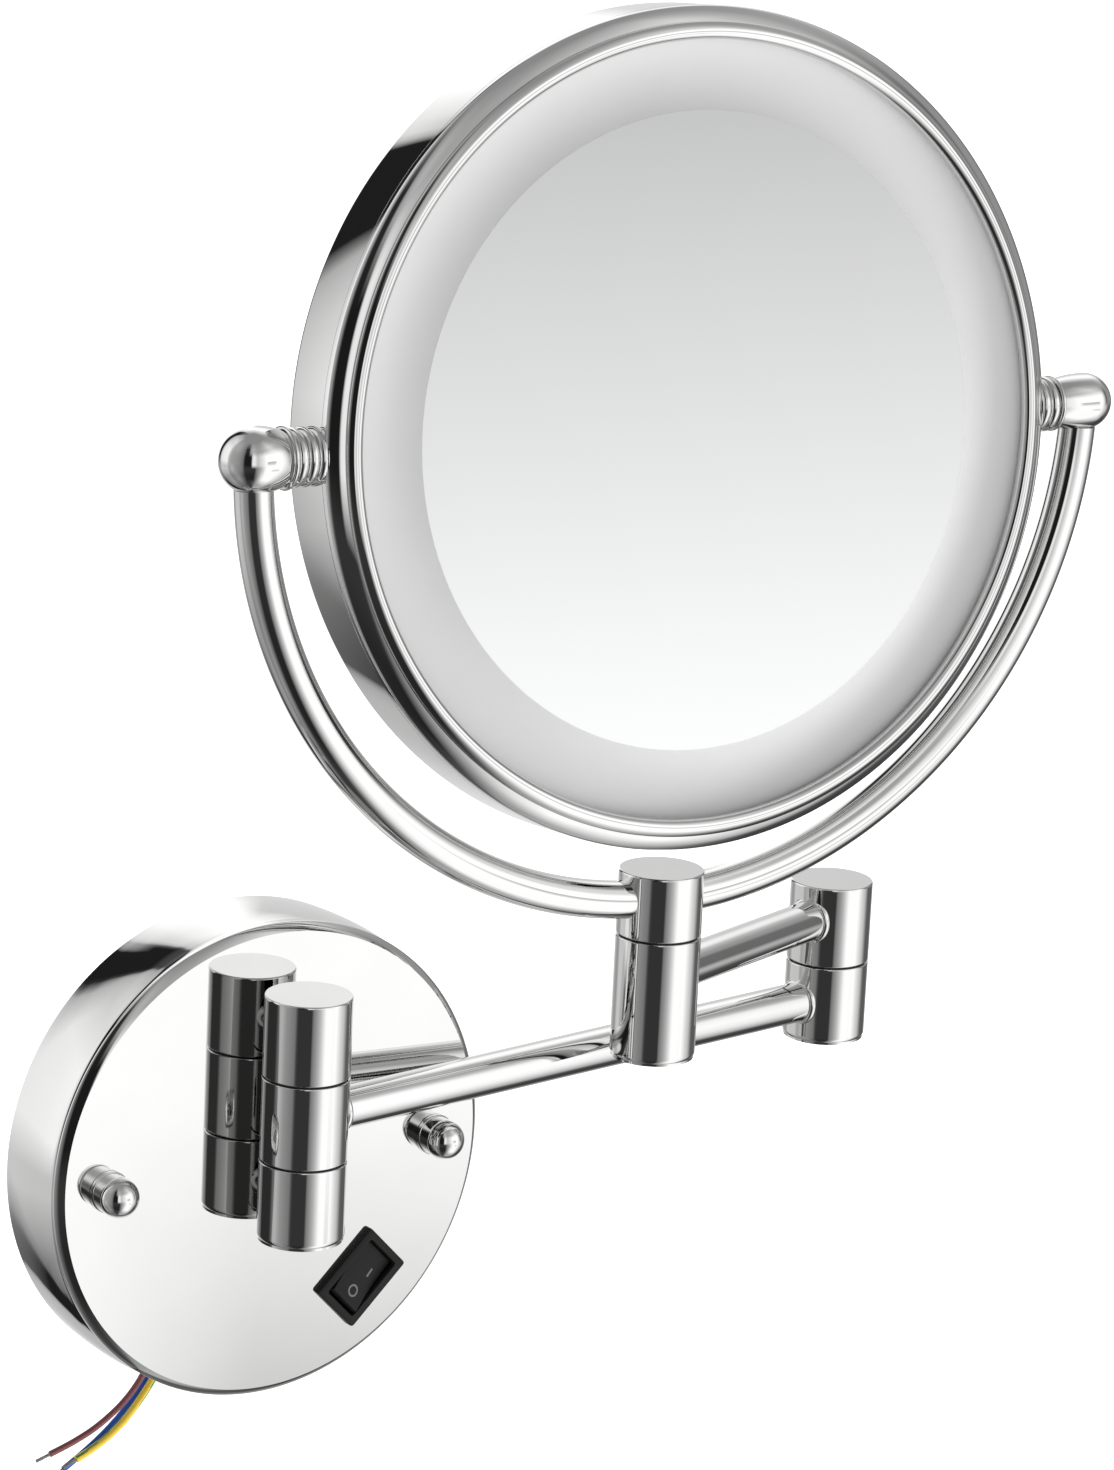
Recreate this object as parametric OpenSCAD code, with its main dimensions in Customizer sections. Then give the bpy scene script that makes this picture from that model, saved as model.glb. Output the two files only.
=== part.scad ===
// Extendable shaving mirror: a chromed wall plate with a rocker switch, a two-piece
// swing arm on three barrel joints, and a lit round mirror tilting in a half-round yoke.
// The wall is the plane Y = 0, the mirror stands out towards -Y, and +Z is up.

/* [Wall plate] */
// Diameter of the drawn cover
cover_d = 122; // [112:1:140]
// Depth of the cover from the wall to its flat face
cover_depth = 24; // [22:0.5:30]
// Radius of the rounded edge between face and side
cover_edge_r = 2.2; // [1.2:0.1:4]
// Sheet thickness of the cover
cover_wall = 0.8; // [0.6:0.1:1.2]
// Distance of the two cap nuts from the side of the cover
nut_inset = 14.5; // [12.5:0.5:18]
// Diameter of the cap nuts
nut_d = 10; // [8:0.1:12]
// Length of the cap nuts
nut_l = 10; // [9:0.2:14]
// Thread diameter of the studs and hinge screws
stud_d = 5; // [4:0.5:6]
// Distance between the two wall screw slots
screw_pitch = 60; // [50:1:64]
// Width of the wall screw slots
screw_slot_w = 4.8; // [4:0.1:5.5]
// Length of the wall screw slots
screw_slot_l = 10; // [7:0.5:12]

/* [Switch] */
// Length of the switch bezel
switch_l = 21; // [18:0.5:24]
// Width of the switch bezel
switch_w = 15; // [13:0.5:17]
// Thickness of the bezel flange
switch_flange = 1.8; // [1.2:0.1:2.4]
// Distance of the middle of the switch from the side of the cover
switch_inset = 18.2; // [16.5:0.1:20]
// Direction of the switch from the plate centre, below the horizontal
switch_bearing = 52.6; // [45:0.2:60]
// Turn of the switch on the plate
switch_turn = 44; // [30:1:60]
// Angle from rest to the other side of the rocker
rocker_travel = 16; // [12:1:20]

/* [Arm] */
// Diameter of the barrel joints
barrel_d = 21.5; // [20:0.5:24]
// Height of the arm's lower tube above the plate centre
arm_z = 15.6; // [12:0.2:18]
// Height of each end segment of the wall barrel
wall_seg_h = 20; // [17:0.5:23]
// Height of the lower knuckles
knuckle_h = 20.6; // [17:0.5:23]
// Height of the upper elbow knuckle
elbow_top_h = 21.2; // [18:0.2:24]
// Height of the long knuckle below the yoke
yoke_knuckle_h = 31.6; // [29:0.2:34]
// Height of the long knuckle above the middle of the upper arm's tube
yoke_knuckle_neck = 11.4; // [8:0.2:14]
// Height of the hub that carries the yoke
yoke_hub_h = 16.4; // [14:0.2:19]
// Clear height between two knuckles, filled by a washer
seam = 0.5; // [0.3:0.05:0.8]
// Distance between the wall barrel and the face of the plate
barrel_gap = 2.2; // [1.6:0.1:4]
// Length of the lower arm, axis to axis
lower_arm_l = 176; // [150:1:200]
// Length of the upper arm, axis to axis
upper_arm_l = 79; // [72:1:100]
// Diameter of the arm tubes
arm_tube_d = 10.5; // [9:0.5:12]
// Wall of the arm tubes
arm_tube_wall = 1.2; // [0.8:0.1:1.6]
// Clear gap between a parked arm and what it folds against
park_gap = 0.4; // [0.3:0.1:6]

/* [Joints] */
// Diameter of the pivot pins
pin_d = 8; // [7:0.1:9]
// Bore through the pivot pins, for the lamp lead
pin_bore = 4; // [3:0.1:4.4]
// Wall of the bushes
bush_wall = 1.3; // [1:0.1:1.6]
// Radial running clearance of pins in their bushes
run_fit = 0.05; // [0.02:0.01:0.1]
// Clearance between seated pieces
seat_fit = 0.02; // [0.01:0.01:0.05]

/* [Yoke] */
// Distance from the side of the mirror drum to the middle of the yoke's tube
yoke_gap = 16; // [14:0.5:24]
// Diameter of the yoke tube
yoke_tube_d = 8; // [7:0.5:9]
// Wall of the yoke tube
yoke_tube_wall = 1; // [0.8:0.1:1.4]
// Diameter of the left tilt knob
left_knob_d = 16.4; // [14:0.1:18]
// Diameter of the right finial
right_knob_d = 14.5; // [13.6:0.1:16]
// Distance from the middle of the yoke's tube to the middle of the right finial's ball
right_knob_reach = 1; // [0:0.1:4]
// Wall of the knobs' necks round the yoke's tube
knob_neck_wall = 2; // [1:0.1:2.4]
// Turn of the parked yoke from facing straight out of the wall
yoke_rest = -3.8; // [-12:0.1:12]
// Diameter of the tilt screws
tilt_screw_d = 4; // [3.5:0.1:5]

/* [Mirror head] */
// Diameter of the drum behind the rim
head_d = 206; // [190:1:216]
// Distance from the tilt axis to the back of the drum
head_back = 13.4; // [12:0.1:18]
// Radius of the drum's rounded back edge
head_edge_r = 2.2; // [1.2:0.1:4]
// Distance from the tilt axis to the front of the glass
glass_front = 7.3; // [6.6:0.1:10]
// Width of the lit ring round the clear mirror
lit_ring_w = 18.8; // [14:0.2:26]
// Thickness of the mirror glass
glass_t = 3; // [2:0.1:3.2]
// Sheet thickness of the drum
head_wall = 0.8; // [0.6:0.1:1.2]
// Radius of the rim's front bead over the edge of the glass
front_bead_r = 2; // [1.6:0.1:2.4]
// Radius of the outer flank of the front bead
front_flank_r = 3.2; // [2.6:0.1:3.6]
// Radius of the broad rear roll of the rim
rear_roll_r = 5.9; // [5:0.1:7]
// Radius of the rim's outer edge, where it meets the drum
rim_edge_r = 1.4; // [0.8:0.1:1.8]
// Backward lean of the parked mirror
head_rest = 5.5; // [-10:0.5:15]
// Number of light-emitting diodes on the ring
led_count = 36; // [24:1:48]

/* [Mains leads] */
// Diameter of the live and neutral leads
lead_d = 1.6; // [1.4:0.1:2.4]
// Diameter of the earth lead
earth_d = 1.9; // [1.6:0.1:2.6]

/* [Hidden] */

$fn = 96;

// Radii used again and again
cover_r = cover_d / 2;
barrel_r = barrel_d / 2;
arm_tube_r = arm_tube_d / 2;
pin_r = pin_d / 2;
bush_r = pin_r + run_fit + bush_wall;
stud_r = stud_d / 2;
weld_r = 1;                                       // bead of braze round the end of an arm tube
yoke_tube_r = yoke_tube_d / 2;
head_r = head_d / 2;
yoke_r = head_r + yoke_gap;

// Heights of the joints, from the lower arm upwards
lower_seam_z = arm_z - knuckle_h / 2;             // under the wall knuckle and the elbow's foot
upper_seam_z = arm_z + knuckle_h / 2;             // above them
tube_lift = 1.2;                                  // upper tubes sit this much above mid-knuckle
upper_arm_z = upper_seam_z + seam + elbow_top_h / 2 + tube_lift;
yoke_seam_z = upper_arm_z + yoke_knuckle_neck;    // top of the long knuckle
yoke_foot_z = yoke_seam_z - yoke_knuckle_h;
yoke_lift = 0.5;                                  // the yoke's tube sits this much above mid-hub
yoke_bottom_z = yoke_seam_z + seam + yoke_hub_h / 2 + yoke_lift;
tilt_z = yoke_bottom_z + yoke_r;                  // the tilt axis

// Places of the joints on the plate
wall_axis_y = -(cover_depth + barrel_gap + barrel_r);
hinge_z = [upper_seam_z + seam + wall_seg_h / 2, lower_seam_z - seam - wall_seg_h / 2];

// Parked angles: the lower arm leans over the edge of the cover towards the wall, and the
// upper arm folds back over it until the long knuckle comes up beside the lower tube
edge_across = cover_r - cover_edge_r;
edge_behind = barrel_gap + barrel_r;
wall_rest = acos((arm_tube_r + park_gap) / norm([edge_across, edge_behind]))
            - atan2(edge_across, edge_behind);
fold_rest = asin((barrel_r + arm_tube_r + park_gap) / upper_arm_l);

// Plate inside the cover
back_plate_t = 1.5;
back_plate_r = cover_r - cover_wall - 1.2;
stiffener_t = 2;
nut_pitch = 2 * (cover_r - nut_inset);
nut_reach = nut_l - 5;                            // length of stud inside a cap nut
nut_foot_h = 1.2;                                 // broader foot of a cap nut

// Lead exit in the back plate
grommet_at = [-8, -42];
grommet_r = 4.6;
lead_ring_r = 1.9;                                // the three leads lie on this radius
lead_turns = [150, 270, 30];                      // live, neutral, earth
conductor_r = 0.45;
strip_l = 4;

// Switch
switch_at = (cover_r - switch_inset) * [cos(switch_bearing), -sin(switch_bearing)];
switch_body_l = switch_l - 2.2;
switch_body_w = switch_w - 2.2;
switch_body_depth = 12.5;
switch_wall = 1.1;
switch_tab_l = cover_depth - switch_body_depth - back_plate_t - 3;  // the tabs stop short of the back plate
rocker_l = switch_l - 6.2;
rocker_w = switch_w - 6.7;
rocker_gap = 0.3;                                 // clear gap round the rocker in its well
well = [rocker_l + 2 * rocker_gap, rocker_w + 2 * rocker_gap];
rocker_pivot_depth = 3.4;                         // rocker axis below the face of the plate

// Rim, as radius and distance in front of the tilt axis
rim_back = 3.8;                                   // rear face of the rim, against the drum
rim_side_h = 1.4;                                 // straight side of the rim, flush with the drum
glass_r = head_r - 6.2;
mirror_r = glass_r - lit_ring_w;
rim_edge_at = [head_r - rim_edge_r, rim_back + rim_side_h];
rear_roll_at = rim_edge_at - (rear_roll_r - rim_edge_r) * [sin(51), cos(51)];
rim_valley = rear_roll_at + rear_roll_r * [sin(18), cos(18)];
front_flank_at = rim_valley - [front_flank_r, 0];
front_bead_at = front_flank_at + (front_flank_r - front_bead_r) * [sin(24), cos(24)];
core_front = -6.5;                                // front of the core plate
core_t = 1.5;
board_r = [mirror_r + 2, glass_r - 2.8];
board_t = 1.6;

// Collar between yoke and drum, on the tilt axis
left_seat = yoke_tube_r + 4.6;                    // flange faces, inside the middle of the yoke tube
right_seat = yoke_tube_r + 6.2;
screw_in_knob = 1.5;                              // reach of the tilt screws past the yoke's middle
yoke_stop = asin((tilt_screw_d / 2 + 0.5) / yoke_r);  // the yoke's ends stop short of the tilt screws
knob_flange_t = 1.2;
knob_neck_r = yoke_tube_r + knob_neck_wall;
bead_r = 1.4;
bead_ring_r = 7.1 - bead_r;

// ---- placing ----

// +Z of the child points out of the wall, towards -Y
module face_out() { rotate([90, 0, 0]) children(); }

// Child +X runs along the lower arm from the wall axis
module on_lower_arm() { translate([0, wall_axis_y, 0]) rotate(wall_rest) children(); }

module at_elbow() { on_lower_arm() translate([lower_arm_l, 0, 0]) children(); }

// Child +X runs along the upper arm from the elbow
module on_upper_arm() { at_elbow() rotate(180 + fold_rest) children(); }

// Child faces the way the yoke faces, on the yoke's swivel axis
module on_yoke() {
    on_upper_arm() translate([upper_arm_l, 0, 0])
        rotate(yoke_rest - wall_rest - fold_rest - 180) children();
}

// Child stands on the tilt axis and leans with the mirror
module on_head() { on_yoke() translate([0, 0, tilt_z]) rotate([-head_rest, 0, 0]) children(); }

// Child +Z points out of the mirror along its own axis
module on_glass() { on_head() face_out() children(); }

// Child +Z runs along the tilt axis, outwards on the given side (-1 left, 1 right)
module on_tilt_axis(side) { rotate([0, side * 90, 0]) children(); }

// The switch's own frame on the face of the plate: +X along its length, +Z out of the plate
module on_switch() {
    translate([switch_at[0], -cover_depth, switch_at[1]]) face_out() rotate(switch_turn) children();
}

// ---- shared shapes ----

// Half outline of a drawn drum: a square corner at the open end, a rounded one at the closed end
module drum_outline(r, h, edge) {
    square([r - edge, h]);
    square([r, h - edge]);
    translate([r - edge, h - edge]) circle(edge);
}

// Thin drum, open at z = 0 and closed at z = h
module drum(r, h, edge, wall) {
    rotate_extrude() difference() {
        drum_outline(r, h, edge);
        drum_outline(r - wall, h - wall, edge - wall);
        translate([0, -1]) square([r - wall, 2]);
    }
}

// Solid barrel from z = 0 to h, with its corners rounded at foot and head
module barrel(h, foot_r, head_r) {
    rotate_extrude() {
        translate([0, foot_r]) square([barrel_r, h - foot_r - head_r]);
        square([barrel_r - foot_r, h]);
        translate([barrel_r - foot_r, foot_r]) circle(foot_r);
        square([barrel_r - head_r, h]);
        translate([barrel_r - head_r, h - head_r]) circle(head_r);
    }
}

module ring(r_out, r_in, h) {
    difference() {
        cylinder(r = r_out, h = h);
        translate([0, 0, -1]) cylinder(r = r_in, h = h + 2);
    }
}

// Thin washer that fills a seam at height z, with running clearance on both faces
module seam_washer(z) {
    translate([0, 0, z + run_fit / 2]) ring(barrel_r - 0.9, pin_r + run_fit, seam - run_fit);
}

// Lined hole through a knuckle of height h standing on z
module bush(z, h) { translate([0, 0, z]) ring(bush_r, pin_r + run_fit, h); }

module bush_bore(z, h) { translate([0, 0, z]) cylinder(r = bush_r + seat_fit, h = h); }

module pin_bore_at(z, h) { translate([0, 0, z]) cylinder(r = pin_r + seat_fit, h = h); }

// Hollow pin with a slot for the lamp lead at height slot_z
module pivot_pin(z, h, slot_z) {
    difference() {
        translate([0, 0, z]) ring(pin_r, pin_bore / 2, h);
        translate([0, -pin_bore / 2, slot_z - 3]) cube([pin_r + 1, pin_bore, 6]);
    }
}

// Way for the lamp lead from the middle of a knuckle into the tube that joins it
module lead_way(z) {
    translate([0, 0, z]) rotate([0, 90, 0]) cylinder(r = 2, h = barrel_r + 1);
}

// Weld collar round the end of an arm tube on a barrel
module weld(z) {
    translate([barrel_r - weld_r, 0, z]) rotate([0, 90, 0]) rotate_extrude() difference() {
        translate([arm_tube_r - 0.1, 0]) circle(weld_r);
        translate([0, -2]) square([arm_tube_r + seat_fit, 4]);
    }
}

// Straight arm tube of length l, coped onto the barrels at both ends
module arm_tube(l, z) {
    difference() {
        translate([0, 0, z]) rotate([0, 90, 0]) cylinder(r = arm_tube_r, h = l);
        translate([-1, 0, z]) rotate([0, 90, 0]) cylinder(r = arm_tube_r - arm_tube_wall, h = l + 2);
        translate([0, 0, z - 20]) cylinder(r = barrel_r, h = 40);
        translate([l, 0, z - 20]) cylinder(r = barrel_r, h = 40);
    }
}

// ---- wall plate ----

module stud_holes(r, depth) {
    for (side = [-1, 1]) translate([side * nut_pitch / 2, 0, -1]) cylinder(r = r, h = depth + 2);
}

module hinge_holes(r, depth) {
    for (z = hinge_z) translate([0, z, -1]) cylinder(r = r, h = depth + 2);
}

module cover() {
    color("gainsboro") difference() {
        face_out() difference() {
            drum(cover_r, cover_depth, cover_edge_r, cover_wall);
            stud_holes(stud_r + 0.2, cover_depth);
            hinge_holes(stud_r + 0.2, cover_depth);
        }
        on_switch() translate([-switch_body_l / 2 - 0.1, -switch_body_w / 2 - 0.1, -2])
            cube([switch_body_l + 0.2, switch_body_w + 0.2, 4]);
    }
}

module wall_slot() {
    reach = (screw_slot_l - screw_slot_w) / 2;
    for (side = [-1, 1]) translate([side * reach, 0, -1])
        cylinder(d = screw_slot_w, h = back_plate_t + 2);
    translate([-reach, -screw_slot_w / 2, -1]) cube([2 * reach, screw_slot_w, back_plate_t + 2]);
}

module back_plate() {
    color("silver") face_out() difference() {
        cylinder(r = back_plate_r, h = back_plate_t);
        for (side = [-1, 1]) translate([side * screw_pitch / 2, 0, 0]) wall_slot();
        stud_holes(stud_r + seat_fit, back_plate_t);
        translate([grommet_at[0], grommet_at[1], -1]) cylinder(r = grommet_r, h = back_plate_t + 2);
    }
}

module plate_studs() {
    color("silver") face_out() for (side = [-1, 1]) translate([side * nut_pitch / 2, 0, 0]) {
        cylinder(r = stud_r, h = cover_depth + nut_reach);
        translate([0, 0, back_plate_t]) cylinder(r = stud_r + 1.5, h = 1.2);
    }
}

module cap_nuts() {
    color("gainsboro") face_out() for (side = [-1, 1])
        translate([side * nut_pitch / 2, 0, cover_depth]) difference() {
            union() {
                cylinder(d = nut_d + 0.3, h = nut_foot_h);
                cylinder(d = nut_d - 0.2, h = nut_l - nut_d / 2);
                translate([0, 0, nut_l - nut_d / 2]) sphere(d = nut_d);
            }
            translate([0, 0, -1]) cylinder(r = stud_r + seat_fit, h = nut_l - 1.6);
        }
}

// Bar behind the cover's thin face that spreads the load of the hinge screws
module stiffener() {
    middle = (hinge_z[0] + hinge_z[1]) / 2;
    reach = (hinge_z[0] - hinge_z[1]) / 2 + 7;
    color("silver") face_out() translate([0, 0, cover_depth - cover_wall - stiffener_t]) difference() {
        translate([-10, middle - reach, 0]) cube([20, 2 * reach, stiffener_t]);
        hinge_holes(stud_r + 0.1, stiffener_t);
    }
}

// Cap screws from inside the cover into the two fixed segments of the wall barrel
module hinge_screws() {
    seat = cover_depth - cover_wall - stiffener_t;
    color("silver") face_out() for (z = hinge_z) translate([0, z, seat]) {
        cylinder(r = stud_r, h = -wall_axis_y - pin_r - 0.8 - seat);
        translate([0, 0, -3]) difference() {
            cylinder(r = stud_r + 1.75, h = 3);
            translate([0, 0, -1]) cylinder(r = 2.2, h = 3, $fn = 6);
        }
    }
}

// Collars between the cover and the barrel, coped to the barrel
module hinge_collars() {
    color("gainsboro") difference() {
        face_out() for (z = hinge_z) translate([0, z, cover_depth])
            ring(stud_r + 2, stud_r + seat_fit, barrel_gap + barrel_r / 2);
        translate([0, wall_axis_y, lower_seam_z - 30]) cylinder(r = barrel_r, h = 90);
    }
}

module hinge_screw_hole(z) {
    translate([0, 0, z]) rotate([-90, 0, 0]) cylinder(r = stud_r + seat_fit, h = barrel_r + 1);
}

module wall_barrel_top() {
    color("gainsboro") translate([0, wall_axis_y, 0]) difference() {
        translate([0, 0, upper_seam_z + seam]) barrel(wall_seg_h, 0.3, 0.5);
        pin_bore_at(upper_seam_z, seam + wall_seg_h - 3);
        hinge_screw_hole(hinge_z[0]);
    }
}

module wall_barrel_bottom() {
    color("gainsboro") translate([0, wall_axis_y, 0]) difference() {
        translate([0, 0, lower_seam_z - seam - wall_seg_h]) barrel(wall_seg_h, 1.6, 0.3);
        pin_bore_at(lower_seam_z - seam - wall_seg_h + 3, wall_seg_h);
        hinge_screw_hole(hinge_z[1]);
    }
}

wall_pin_z = lower_seam_z - seam - wall_seg_h + 3 + seat_fit;
wall_pin_h = knuckle_h + 2 * (seam + wall_seg_h - 3 - seat_fit);

module wall_pin() {
    color("darkgray") translate([0, wall_axis_y, 0]) rotate(wall_rest)
        pivot_pin(wall_pin_z, wall_pin_h, arm_z);
}

module wall_washers() {
    color("dimgray") translate([0, wall_axis_y, 0]) {
        seam_washer(upper_seam_z);
        seam_washer(lower_seam_z - seam);
    }
}

// ---- switch ----

// Opening that widens by w on all four sides from height z0 to z1, from half sizes a and b
module flare(a, b, z0, z1, w) {
    intersection() {
        rotate([90, 0, 0]) translate([0, 0, -b - w]) linear_extrude(2 * (b + w))
            polygon([[-a, z0], [a, z0], [a + w, z1], [a + w, z1 + 1], [-a - w, z1 + 1], [-a - w, z1]]);
        rotate([90, 0, 90]) translate([0, 0, -a - w]) linear_extrude(2 * (a + w))
            polygon([[-b, z0], [b, z0], [b + w, z1], [b + w, z1 + 1], [-b - w, z1 + 1], [-b - w, z1]]);
    }
}

// Snap-in housing: flange with a flared opening, body with a well for the rocker, and two spring ears
module switch_housing() {
    color([0.1, 0.1, 0.11]) on_switch() difference() {
        union() {
            translate([-switch_l / 2, -switch_w / 2, 0]) cube([switch_l, switch_w, switch_flange]);
            translate([-switch_body_l / 2, -switch_body_w / 2, -switch_body_depth])
                cube([switch_body_l, switch_body_w, switch_body_depth]);
            for (end = [-1, 1]) translate([end * switch_body_l / 2, 0, -cover_wall - 0.1])
                rotate([90, 0, 0]) translate([0, 0, -3])
                    linear_extrude(6) polygon([[-end, 0], [end * 0.7, 0], [0, -5], [-end, -5]]);
        }
        translate([-well[0] / 2, -well[1] / 2, -switch_body_depth + switch_wall + 2])
            cube([well[0], well[1], 40]);
        flare(well[0] / 2, well[1] / 2, switch_flange - 0.6, switch_flange, 0.4);
        translate([0, -rocker_w / 2 - 1.3, -rocker_pivot_depth]) rotate([-90, 0, 0])
            cylinder(r = 1 + run_fit, h = rocker_w + 2.6);
    }
}

module switch_terminals() {
    color("goldenrod") on_switch() for (x = [-4.5, 0, 4.5])
        translate([x - 0.4, -2.4, -switch_body_depth - switch_tab_l]) difference() {
            cube([0.8, 4.8, switch_tab_l]);
            translate([-1, 2.4, 2]) rotate([0, 90, 0]) cylinder(r = 0.8, h = 3);
        }
}

// Rocker: two flats that meet in a shallow valley, a round belly, and trunnions
module rocker_paddle() {
    half = rocker_l / 2 - 0.5;
    valley = rocker_pivot_depth + switch_flange - 0.7;  // middle of the faces above the axis
    tip = valley + 1;
    belly = 5.6;
    color([0.12, 0.12, 0.13]) on_switch() translate([0, 0, -rocker_pivot_depth])
        rotate([0, rocker_travel / 2, 0]) rotate([90, 0, 0]) {
            translate([0, 0, -rocker_w / 2]) linear_extrude(rocker_w) {
                polygon([[-half, 1.6], [-half, tip - 1], [-half + 0.5, tip], [0, valley], [half - 0.5, tip],
                         [half, tip - 1], [half, 1.6], [belly / 2, -2], [-belly / 2, -2]]);
                translate([0, -2]) circle(belly / 2);
            }
            translate([0, 0, -rocker_w / 2 - 1]) cylinder(r = 1, h = rocker_w + 2);
        }
}

// ---- wiring inside the plate ----

driver_box = [30, 28, 13];
driver_at = [19 - cover_r, 8];

module led_driver() {
    color("whitesmoke") face_out() translate([driver_at[0], driver_at[1], back_plate_t]) difference() {
        cube(driver_box);
        for (y = [6, 22]) translate([-1, y, 6]) cube([3, 3.6, 3]);
    }
}

// Sheet strap over the driver, with a foot on each side
module driver_strap() {
    w = 8;
    t = 0.8;
    color("silver") face_out()
        translate([driver_at[0] + (driver_box[0] - w) / 2, driver_at[1], back_plate_t]) difference() {
            translate([0, -t - 5, 0]) union() {
                translate([0, 5, 0]) cube([w, driver_box[1] + 2 * t, driver_box[2] + t]);
                cube([w, 5, t]);
                translate([0, 5 + 2 * t + driver_box[1], 0]) cube([w, 5, t]);
            }
            translate([-1, 0, -1]) cube([w + 2, driver_box[1], driver_box[2] + 1]);
        }
}

// Three-way screw terminal over the lead exit
module terminal_block() {
    color("ivory") face_out() translate([grommet_at[0], grommet_at[1], back_plate_t + 3.2]) difference() {
        translate([-11, -3.5, 0]) cube([22, 11, 9]);
        for (x = [-7, 0, 7]) {
            translate([x, 2, 4]) cylinder(r = 1.8, h = 6);
            translate([x, -4.5, 4.5]) rotate([-90, 0, 0]) cylinder(r = 1.3, h = 13);
        }
        for (a = lead_turns) rotate(a) translate([lead_ring_r, 0, -1]) cylinder(r = 1, h = 3);
    }
}

// Rubber bush flush with the wall side of the plate
module lead_grommet() {
    color([0.15, 0.15, 0.15]) face_out() translate([grommet_at[0], grommet_at[1], 0]) difference() {
        union() {
            cylinder(r = grommet_r - seat_fit, h = back_plate_t);
            translate([0, 0, back_plate_t]) cylinder(r = grommet_r + 1.4, h = 1.6);
        }
        for (i = [0 : 2]) rotate(lead_turns[i]) translate([lead_ring_r, 0, -1])
            cylinder(r = lead_diameters[i] / 2 + seat_fit, h = 6);
    }
}

lead_diameters = [lead_d, lead_d, earth_d];

module inner_leads() {
    color("sienna") face_out() translate([grommet_at[0], grommet_at[1], 0]) for (i = [0 : 2])
        rotate(lead_turns[i]) translate([lead_ring_r, 0, 0])
            cylinder(r = lead_diameters[i] / 2, h = back_plate_t + 3.2 + 1);
}

// Each lead comes straight out of the plate, turns down and swings away to one side
live_route = [[-9.6, 0, -41], [-9.6, 2, -41], [-9.6, 5.2, -41.9], [-9.7, 7.5, -44.2], [-10, 8.4, -47.4],
              [-11, 8.4, -52.6], [-13, 8.3, -58.2], [-16, 8.2, -63.6], [-19.4, 8.2, -68],
              [-23.6, 8.2, -71.7], [-29.2, 8.2, -75.2], [-35.4, 8.2, -77.8], [-42, 8.2, -79.8]];
neutral_route = [[-8, 0, -43.9], [-8, 3, -43.9], [-8, 7, -44.9], [-8.1, 9.8, -47.8], [-8.5, 10.9, -51.8],
                 [-9.6, 11, -56.4], [-11.2, 10.9, -61.2], [-13.4, 10.8, -66.2], [-16.8, 10.8, -70.6],
                 [-21, 10.8, -74.8], [-26, 10.8, -79], [-31.6, 10.8, -82.8], [-36.6, 10.8, -85.8]];
earth_route = [[-6.4, 0, -41], [-6.4, 2, -41], [-6.2, 5.8, -42], [-6, 8.6, -44.8], [-6, 9.6, -48.6],
               [-6.8, 9.4, -53], [-8.8, 8.8, -58.4], [-12, 8.5, -64.2], [-16.2, 8.5, -70],
               [-20.8, 8.5, -75], [-25.6, 8.5, -78.6], [-30, 8.5, -81], [-34.3, 8.5, -82.8]];

// Frame of a swept tube: the direction at point i, and two square to it
function direction(p, i) = let (a = p[max(i - 1, 0)], b = p[min(i + 1, len(p) - 1)]) (b - a) / norm(b - a);
function square_to(d) = let (s = cross(d, [0.9, 0.1, 0.45])) s / norm(s);
function tube_ring(p, i, r, n) = let (d = direction(p, i), u = square_to(d), v = cross(d, u))
    [for (k = [0 : n - 1]) p[i] + r * (cos(360 * k / n) * u + sin(360 * k / n) * v)];

// Round tube of radius r swept along the points of a route
module swept_tube(p, r, n = 8) {
    last = len(p) - 1;
    points = [for (i = [0 : last]) each tube_ring(p, i, r, n)];
    polyhedron(points, concat(
        [[for (k = [n - 1 : -1 : 0]) k]],
        [for (i = [0 : last - 1], k = [0 : n - 1]) let (a = i * n + k, b = i * n + (k + 1) % n)
            each [[a, b, b + n], [a, b + n, a + n]]],
        [[for (k = [0 : n - 1]) last * n + k]]), convexity = 4);
}

// Bare end of a lead: the conductor, stripped past the insulation
module bare_end(p) {
    d = direction(p, len(p) - 1);
    translate(p[len(p) - 1]) rotate([0, acos(d[2]), atan2(d[1], d[0])])
        cylinder(r = conductor_r, h = strip_l);
}

module lead_tips() {
    color("silver") for (p = [live_route, neutral_route, earth_route]) bare_end(p);
}

module live_lead() { color("saddlebrown") swept_tube(live_route, lead_d / 2); }

module neutral_lead() { color("royalblue") swept_tube(neutral_route, lead_d / 2); }

module earth_lead() { color("greenyellow") swept_tube(earth_route, earth_d / 2); }

// ---- lower arm ----

module wall_knuckle() {
    color("gainsboro") on_lower_arm() difference() {
        union() {
            translate([0, 0, lower_seam_z]) barrel(knuckle_h, 0.3, 0.3);
            weld(arm_z);
        }
        bush_bore(lower_seam_z - 1, knuckle_h + 2);
        lead_way(arm_z);
    }
}

module wall_bush() {
    color("goldenrod") on_lower_arm() difference() {
        bush(lower_seam_z, knuckle_h);
        lead_way(arm_z);
    }
}

module lower_arm_tube() {
    color("gainsboro") on_lower_arm() arm_tube(lower_arm_l, arm_z);
}

elbow_pin_z = lower_seam_z + 3;
elbow_pin_h = knuckle_h + seam + elbow_top_h - 6;

module elbow_knuckle_lower() {
    color("gainsboro") at_elbow() difference() {
        union() {
            translate([0, 0, lower_seam_z]) barrel(knuckle_h, 1.6, 0.3);
            rotate(180) weld(arm_z);
        }
        pin_bore_at(elbow_pin_z - seat_fit, knuckle_h);
        rotate(180) lead_way(arm_z);
    }
}

module elbow_pin() {
    color("darkgray") at_elbow() rotate(180) pivot_pin(elbow_pin_z, elbow_pin_h, arm_z);
}

module elbow_washer() { color("dimgray") at_elbow() seam_washer(upper_seam_z); }

// ---- upper arm ----

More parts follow.
